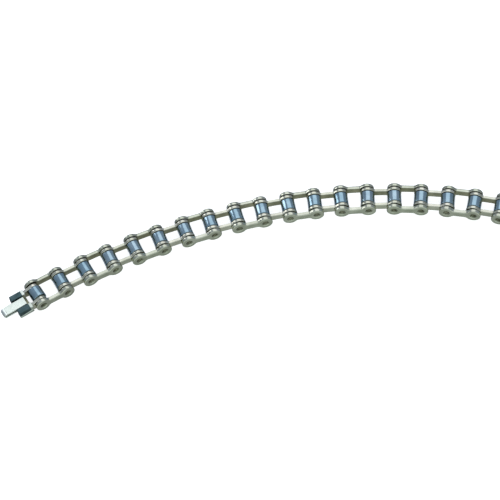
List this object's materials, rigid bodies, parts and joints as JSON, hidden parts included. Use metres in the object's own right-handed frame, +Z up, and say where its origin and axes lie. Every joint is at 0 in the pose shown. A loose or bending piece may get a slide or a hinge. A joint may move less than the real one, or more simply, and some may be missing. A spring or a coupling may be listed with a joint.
{
  "type": "roller chain bracelet",
  "caption": "Polished steel roller chain with blue rollers, laid out in a gentle sideways curve, with a folded-tongue plug at one end and a box clasp at the other.",
  "frame": {"origin": "centre of the bounding box at its lowest height, on the surface that the chain lies on", "axes": "+X along the chord of the laid-out chain from the plug to the box, +Y towards the outside of its bow, +Z up off the surface"},
  "size_m": [0.197, 0.0376, 0.005],
  "materials": {
    "outer_plate_steel": "polished stainless steel with a faint warm green cast",
    "inner_plate_steel": "polished stainless steel",
    "blue_coated_steel": "glossy metallic blue coating on turned steel",
    "clasp_steel": "polished steel with dark slate cheeks",
    "spring_steel": "bright polished spring steel"
  },
  "bodies": {
    "outer_link_11": {"outer_pin_plate_11": "outer_plate_steel", "outer_cover_plate_11": "outer_plate_steel"},
    "outer_link_01": {"outer_pin_plate_01": "outer_plate_steel", "outer_cover_plate_01": "outer_plate_steel"},
    "inner_link_02": {"inner_cage_02": "inner_plate_steel"},
    "outer_link_03": {"outer_pin_plate_03": "outer_plate_steel", "outer_cover_plate_03": "outer_plate_steel"},
    "inner_link_04": {"inner_cage_04": "inner_plate_steel"},
    "outer_link_05": {"outer_pin_plate_05": "outer_plate_steel", "outer_cover_plate_05": "outer_plate_steel"},
    "inner_link_06": {"inner_cage_06": "inner_plate_steel"},
    "outer_link_07": {"outer_pin_plate_07": "outer_plate_steel", "outer_cover_plate_07": "outer_plate_steel"},
    "inner_link_08": {"inner_cage_08": "inner_plate_steel"},
    "outer_link_09": {"outer_pin_plate_09": "outer_plate_steel", "outer_cover_plate_09": "outer_plate_steel"},
    "inner_link_10": {"inner_cage_10": "inner_plate_steel"},
    "inner_link_12": {"inner_cage_12": "inner_plate_steel"},
    "outer_link_13": {"outer_pin_plate_13": "outer_plate_steel", "outer_cover_plate_13": "outer_plate_steel"},
    "inner_link_14": {"inner_cage_14": "inner_plate_steel"},
    "outer_link_15": {"outer_pin_plate_15": "outer_plate_steel", "outer_cover_plate_15": "outer_plate_steel"},
    "inner_link_16": {"inner_cage_16": "inner_plate_steel"},
    "outer_link_17": {"outer_pin_plate_17": "outer_plate_steel", "outer_cover_plate_17": "outer_plate_steel"},
    "inner_link_18": {"inner_cage_18": "inner_plate_steel"},
    "outer_link_19": {"outer_pin_plate_19": "outer_plate_steel", "outer_cover_plate_19": "outer_plate_steel"},
    "inner_link_20": {"inner_cage_20": "inner_plate_steel"},
    "outer_link_21": {"outer_pin_plate_21": "outer_plate_steel", "outer_cover_plate_21": "outer_plate_steel"},
    "plug": {"clasp_plug_frame": "clasp_steel", "clasp_tongue": "spring_steel", "clasp_rivet": "clasp_steel"},
    "tongue_spring": {"clasp_tongue_spring": "spring_steel"},
    "box": {"clasp_box_frame": "clasp_steel", "clasp_box_cover": "clasp_steel"},
    "roller_01": {"roller_01": "blue_coated_steel"},
    "roller_02": {"roller_02": "blue_coated_steel"},
    "roller_03": {"roller_03": "blue_coated_steel"},
    "roller_04": {"roller_04": "blue_coated_steel"},
    "roller_05": {"roller_05": "blue_coated_steel"},
    "roller_06": {"roller_06": "blue_coated_steel"},
    "roller_07": {"roller_07": "blue_coated_steel"},
    "roller_08": {"roller_08": "blue_coated_steel"},
    "roller_09": {"roller_09": "blue_coated_steel"},
    "roller_10": {"roller_10": "blue_coated_steel"},
    "roller_11": {"roller_11": "blue_coated_steel"},
    "roller_12": {"roller_12": "blue_coated_steel"},
    "roller_13": {"roller_13": "blue_coated_steel"},
    "roller_14": {"roller_14": "blue_coated_steel"},
    "roller_15": {"roller_15": "blue_coated_steel"},
    "roller_16": {"roller_16": "blue_coated_steel"},
    "roller_17": {"roller_17": "blue_coated_steel"},
    "roller_18": {"roller_18": "blue_coated_steel"},
    "roller_19": {"roller_19": "blue_coated_steel"},
    "roller_20": {"roller_20": "blue_coated_steel"},
    "roller_21": {"roller_21": "blue_coated_steel"},
    "roller_22": {"roller_22": "blue_coated_steel"}
  },
  "joints": [
    {"name": "pivot_11", "type": "hinge", "parent": "outer_link_11", "child": "inner_link_10", "pos_m": [-0.00512, 0.01385, 0.00235], "axis": [-0.0236, 0.9997, 0], "range_deg": [-120, 120]},
    {"name": "pivot_10", "type": "hinge", "parent": "inner_link_10", "child": "outer_link_09", "pos_m": [-0.0136, 0.01326, 0.00235], "axis": [0.1149, -0.9934, 0], "range_deg": [-120, 120]},
    {"name": "pivot_09", "type": "hinge", "parent": "outer_link_09", "child": "inner_link_08", "pos_m": [-0.02205, 0.01228, 0.00235], "axis": [-0.1149, 0.9934, 0], "range_deg": [-120, 120]},
    {"name": "pivot_08", "type": "hinge", "parent": "inner_link_08", "child": "outer_link_07", "pos_m": [-0.03044, 0.01094, 0.00235], "axis": [0.2001, -0.9798, 0], "range_deg": [-120, 120]},
    {"name": "pivot_07", "type": "hinge", "parent": "outer_link_07", "child": "inner_link_06", "pos_m": [-0.03877, 0.00924, 0.00235], "axis": [-0.2001, 0.9798, 0], "range_deg": [-120, 120]},
    {"name": "pivot_06", "type": "hinge", "parent": "inner_link_06", "child": "outer_link_05", "pos_m": [-0.04702, 0.00719, 0.00235], "axis": [0.2786, -0.9604, 0], "range_deg": [-120, 120]},
    {"name": "pivot_05", "type": "hinge", "parent": "outer_link_05", "child": "inner_link_04", "pos_m": [-0.05518, 0.00483, 0.00235], "axis": [-0.2786, 0.9604, 0], "range_deg": [-120, 120]},
    {"name": "pivot_04", "type": "hinge", "parent": "inner_link_04", "child": "outer_link_03", "pos_m": [-0.06325, 0.00215, 0.00235], "axis": [0.3504, -0.9366, 0], "range_deg": [-120, 120]},
    {"name": "pivot_03", "type": "hinge", "parent": "outer_link_03", "child": "inner_link_02", "pos_m": [-0.07121, -0.00083, 0.00235], "axis": [-0.3504, 0.9366, 0], "range_deg": [-120, 120]},
    {"name": "pivot_02", "type": "hinge", "parent": "inner_link_02", "child": "outer_link_01", "pos_m": [-0.07906, -0.00409, 0.00235], "axis": [0.4153, -0.9097, 0], "range_deg": [-120, 120]},
    {"name": "pivot_01", "type": "hinge", "parent": "outer_link_01", "child": "plug", "pos_m": [-0.08679, -0.00763, 0.00235], "axis": [-0.4153, 0.9097, 0], "range_deg": [-120, 120]},
    {"name": "pivot_12", "type": "hinge", "parent": "outer_link_11", "child": "inner_link_12", "pos_m": [0.00337, 0.01405, 0.00235], "axis": [-0.0236, 0.9997, 0], "range_deg": [-120, 120]},
    {"name": "pivot_13", "type": "hinge", "parent": "inner_link_12", "child": "outer_link_13", "pos_m": [0.01187, 0.01385, 0.00235], "axis": [-0.0733, -0.9973, 0], "range_deg": [-120, 120]},
    {"name": "pivot_14", "type": "hinge", "parent": "outer_link_13", "child": "inner_link_14", "pos_m": [0.02035, 0.01323, 0.00235], "axis": [0.0733, 0.9973, 0], "range_deg": [-120, 120]},
    {"name": "pivot_15", "type": "hinge", "parent": "inner_link_14", "child": "outer_link_15", "pos_m": [0.02878, 0.01218, 0.00235], "axis": [-0.1747, -0.9846, 0], "range_deg": [-120, 120]},
    {"name": "pivot_16", "type": "hinge", "parent": "outer_link_15", "child": "inner_link_16", "pos_m": [0.03715, 0.01069, 0.00235], "axis": [0.1747, 0.9846, 0], "range_deg": [-120, 120]},
    {"name": "pivot_17", "type": "hinge", "parent": "inner_link_16", "child": "outer_link_17", "pos_m": [0.04543, 0.00876, 0.00235], "axis": [-0.2793, -0.9602, 0], "range_deg": [-120, 120]},
    {"name": "pivot_18", "type": "hinge", "parent": "outer_link_17", "child": "inner_link_18", "pos_m": [0.05359, 0.00639, 0.00235], "axis": [0.2793, 0.9602, 0], "range_deg": [-120, 120]},
    {"name": "pivot_19", "type": "hinge", "parent": "inner_link_18", "child": "outer_link_19", "pos_m": [0.06161, 0.00356, 0.00235], "axis": [-0.3857, -0.9226, 0], "range_deg": [-120, 120]},
    {"name": "pivot_20", "type": "hinge", "parent": "outer_link_19", "child": "inner_link_20", "pos_m": [0.06945, 0.00029, 0.00235], "axis": [0.3857, 0.9226, 0], "range_deg": [-120, 120]},
    {"name": "pivot_21", "type": "hinge", "parent": "inner_link_20", "child": "outer_link_21", "pos_m": [0.07709, -0.00345, 0.00235], "axis": [-0.4918, -0.8707, 0], "range_deg": [-120, 120]},
    {"name": "pivot_22", "type": "hinge", "parent": "outer_link_21", "child": "box", "pos_m": [0.08449, -0.00763, 0.00235], "axis": [0.4918, 0.8707, 0], "range_deg": [-120, 120]},
    {"name": "roller_spin_01", "type": "hinge", "parent": "plug", "child": "roller_01", "pos_m": [-0.08679, -0.00763, 0.00235], "axis": [-0.4453, 0.8954, 0], "continuous": true},
    {"name": "roller_spin_02", "type": "hinge", "parent": "inner_link_02", "child": "roller_02", "pos_m": [-0.07906, -0.00409, 0.00235], "axis": [-0.3837, 0.9234, 0], "continuous": true},
    {"name": "roller_spin_03", "type": "hinge", "parent": "inner_link_02", "child": "roller_03", "pos_m": [-0.07121, -0.00083, 0.00235], "axis": [-0.3837, 0.9234, 0], "continuous": true},
    {"name": "roller_spin_04", "type": "hinge", "parent": "inner_link_04", "child": "roller_04", "pos_m": [-0.06325, 0.00215, 0.00235], "axis": [-0.3154, 0.949, 0], "continuous": true},
    {"name": "roller_spin_05", "type": "hinge", "parent": "inner_link_04", "child": "roller_05", "pos_m": [-0.05518, 0.00483, 0.00235], "axis": [-0.3154, 0.949, 0], "continuous": true},
    {"name": "roller_spin_06", "type": "hinge", "parent": "inner_link_06", "child": "roller_06", "pos_m": [-0.04702, 0.00719, 0.00235], "axis": [-0.2402, 0.9707, 0], "continuous": true},
    {"name": "roller_spin_07", "type": "hinge", "parent": "inner_link_06", "child": "roller_07", "pos_m": [-0.03877, 0.00924, 0.00235], "axis": [-0.2402, 0.9707, 0], "continuous": true},
    {"name": "roller_spin_08", "type": "hinge", "parent": "inner_link_08", "child": "roller_08", "pos_m": [-0.03044, 0.01094, 0.00235], "axis": [-0.1583, 0.9874, 0], "continuous": true},
    {"name": "roller_spin_09", "type": "hinge", "parent": "inner_link_08", "child": "roller_09", "pos_m": [-0.02205, 0.01228, 0.00235], "axis": [-0.1583, 0.9874, 0], "continuous": true},
    {"name": "roller_spin_10", "type": "hinge", "parent": "inner_link_10", "child": "roller_10", "pos_m": [-0.0136, 0.01326, 0.00235], "axis": [-0.07, 0.9975, 0], "continuous": true},
    {"name": "roller_spin_11", "type": "hinge", "parent": "inner_link_10", "child": "roller_11", "pos_m": [-0.00512, 0.01385, 0.00235], "axis": [-0.07, 0.9975, 0], "continuous": true},
    {"name": "roller_spin_12", "type": "hinge", "parent": "inner_link_12", "child": "roller_12", "pos_m": [0.00337, 0.01405, 0.00235], "axis": [0.0242, 0.9997, 0], "continuous": true},
    {"name": "roller_spin_13", "type": "hinge", "parent": "inner_link_12", "child": "roller_13", "pos_m": [0.01187, 0.01385, 0.00235], "axis": [0.0242, 0.9997, 0], "continuous": true},
    {"name": "roller_spin_14", "type": "hinge", "parent": "inner_link_14", "child": "roller_14", "pos_m": [0.02035, 0.01323, 0.00235], "axis": [0.1235, 0.9923, 0], "continuous": true},
    {"name": "roller_spin_15", "type": "hinge", "parent": "inner_link_14", "child": "roller_15", "pos_m": [0.02878, 0.01218, 0.00235], "axis": [0.1235, 0.9923, 0], "continuous": true},
    {"name": "roller_spin_16", "type": "hinge", "parent": "inner_link_16", "child": "roller_16", "pos_m": [0.03715, 0.01069, 0.00235], "axis": [0.2267, 0.974, 0], "continuous": true},
    {"name": "roller_spin_17", "type": "hinge", "parent": "inner_link_16", "child": "roller_17", "pos_m": [0.04543, 0.00876, 0.00235], "axis": [0.2267, 0.974, 0], "continuous": true},
    {"name": "roller_spin_18", "type": "hinge", "parent": "inner_link_18", "child": "roller_18", "pos_m": [0.05359, 0.00639, 0.00235], "axis": [0.3324, 0.9431, 0], "continuous": true},
    {"name": "roller_spin_19", "type": "hinge", "parent": "inner_link_18", "child": "roller_19", "pos_m": [0.06161, 0.00356, 0.00235], "axis": [0.3324, 0.9431, 0], "continuous": true},
    {"name": "roller_spin_20", "type": "hinge", "parent": "inner_link_20", "child": "roller_20", "pos_m": [0.06945, 0.00029, 0.00235], "axis": [0.4389, 0.8985, 0], "continuous": true},
    {"name": "roller_spin_21", "type": "hinge", "parent": "inner_link_20", "child": "roller_21", "pos_m": [0.07709, -0.00345, 0.00235], "axis": [0.4389, 0.8985, 0], "continuous": true},
    {"name": "roller_spin_22", "type": "hinge", "parent": "box", "child": "roller_22", "pos_m": [0.08449, -0.00763, 0.00235], "axis": [0.544, 0.8391, 0], "continuous": true},
    {"name": "tongue_spring_press", "type": "hinge", "parent": "plug", "child": "tongue_spring", "pos_m": [-0.09678, -0.01259, 0.00255], "axis": [-0.4453, 0.8954, 0], "range_deg": [0, 6], "stiffness_Nm_per_rad": 0.15}
  ]
}
